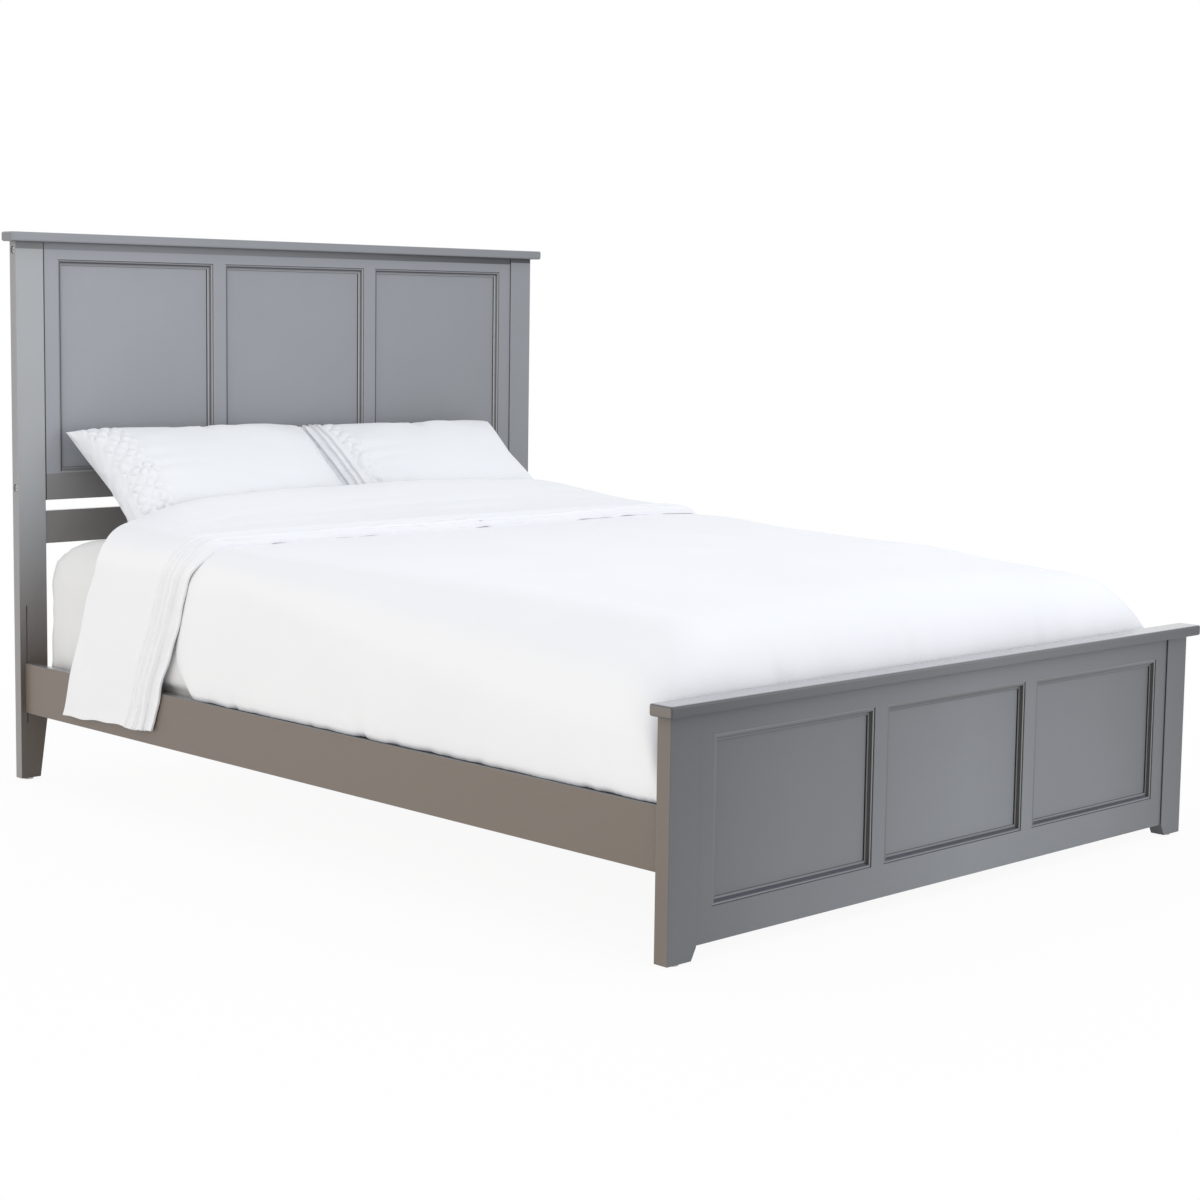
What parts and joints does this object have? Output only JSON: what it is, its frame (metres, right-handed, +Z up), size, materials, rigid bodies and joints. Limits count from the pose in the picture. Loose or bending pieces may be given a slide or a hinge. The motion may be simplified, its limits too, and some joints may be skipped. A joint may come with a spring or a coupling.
{
  "type": "panel bed with bedding",
  "caption": "Painted wooden panel bed: tall and low boards with moulded recessed panels, hook-on side rails, slatted deck, mattress, turned-down duvet and leaning pillows.",
  "frame": {"origin": "on the floor, below the middle of the overall length and width", "axes": "+X across the bed to the right of a person who stands at the foot and looks at the headboard, +Y from the footboard to the headboard, +Z up"},
  "size_m": [1.636, 2.143, 1.27],
  "materials": {
    "painted_wood": "satin grey paint over solid wood",
    "bare_wood": "planed, unfinished softwood",
    "zinc_steel": "zinc plated",
    "strap_webbing": "woven webbing",
    "white_nylon": "moulded nylon",
    "black_plastic": "moulded, with a plated stud",
    "white_sheet": "fitted cotton sheet over the mattress",
    "white_cotton": "plain cotton with pintucks"
  },
  "bodies": {
    "bed_frame": {"headboard_post_left": "painted_wood", "headboard_post_right": "painted_wood", "headboard_cap": "painted_wood", "headboard_top_rail": "painted_wood", "headboard_bottom_rail": "painted_wood", "headboard_lower_rail": "painted_wood", "headboard_stile_left": "painted_wood", "headboard_stile_right": "painted_wood", "headboard_mullion_left": "painted_wood", "headboard_mullion_right": "painted_wood", "headboard_panel_left": "painted_wood", "headboard_panel_centre": "painted_wood", "headboard_panel_right": "painted_wood", "headboard_moulding_left": "painted_wood", "headboard_moulding_centre": "painted_wood", "headboard_moulding_right": "painted_wood", "headboard_pegs": "bare_wood", "footboard_post_left": "painted_wood", "footboard_post_right": "painted_wood", "footboard_cap": "painted_wood", "footboard_top_rail": "painted_wood", "footboard_bottom_rail": "painted_wood", "footboard_stile_left": "painted_wood", "footboard_stile_right": "painted_wood", "footboard_mullion_left": "painted_wood", "footboard_mullion_right": "painted_wood", "footboard_panel_left": "painted_wood", "footboard_panel_centre": "painted_wood", "footboard_panel_right": "painted_wood", "footboard_moulding_left": "painted_wood", "footboard_moulding_centre": "painted_wood", "footboard_moulding_right": "painted_wood", "footboard_pegs": "bare_wood", "headboard_bolts": "zinc_steel", "headboard_barrel_nuts": "zinc_steel", "side_rail_left": "painted_wood", "side_rail_right": "painted_wood", "slat_cleat_left": "bare_wood", "slat_cleat_right": "bare_wood", "cleat_screws": "zinc_steel", "rail_hook_plates": "zinc_steel", "hook_cross_pins": "zinc_steel", "hook_plate_screws": "zinc_steel", "centre_beam": "bare_wood", "centre_leg_head_end": "bare_wood", "centre_leg_middle": "bare_wood", "centre_leg_foot_end": "bare_wood", "slats_head_pack": "bare_wood", "slats_foot_pack": "bare_wood", "slat_straps": "strap_webbing", "post_glides": "white_nylon"},
    "bedding": {"mattress": "white_sheet", "duvet": "white_cotton", "duvet_turndown": "white_cotton"},
    "pillow_left": {"pillow_left": "white_cotton"},
    "pillow_right": {"pillow_right": "white_cotton"},
    "leveller_head_end": {"leg_leveller_head_end": "black_plastic"},
    "leveller_middle": {"leg_leveller_middle": "black_plastic"},
    "leveller_foot_end": {"leg_leveller_foot_end": "black_plastic"}
  },
  "joints": [
    {"name": "mattress_lift", "type": "slide", "parent": "bed_frame", "child": "bedding", "axis": [0, 0, 1], "range_m": [0, 1.12]},
    {"name": "pillow_left_lift", "type": "slide", "parent": "bedding", "child": "pillow_left", "axis": [0, 0, 1], "range_m": [0, 0.75]},
    {"name": "pillow_right_lift", "type": "slide", "parent": "bedding", "child": "pillow_right", "axis": [0, 0, 1], "range_m": [0, 0.75]},
    {"name": "leveller_head_end_screw", "type": "slide", "parent": "bed_frame", "child": "leveller_head_end", "axis": [0, 0, 1], "range_m": [0, 0.012]},
    {"name": "leveller_middle_screw", "type": "slide", "parent": "bed_frame", "child": "leveller_middle", "axis": [0, 0, 1], "range_m": [0, 0.012]},
    {"name": "leveller_foot_end_screw", "type": "slide", "parent": "bed_frame", "child": "leveller_foot_end", "axis": [0, 0, 1], "range_m": [0, 0.012]}
  ]
}
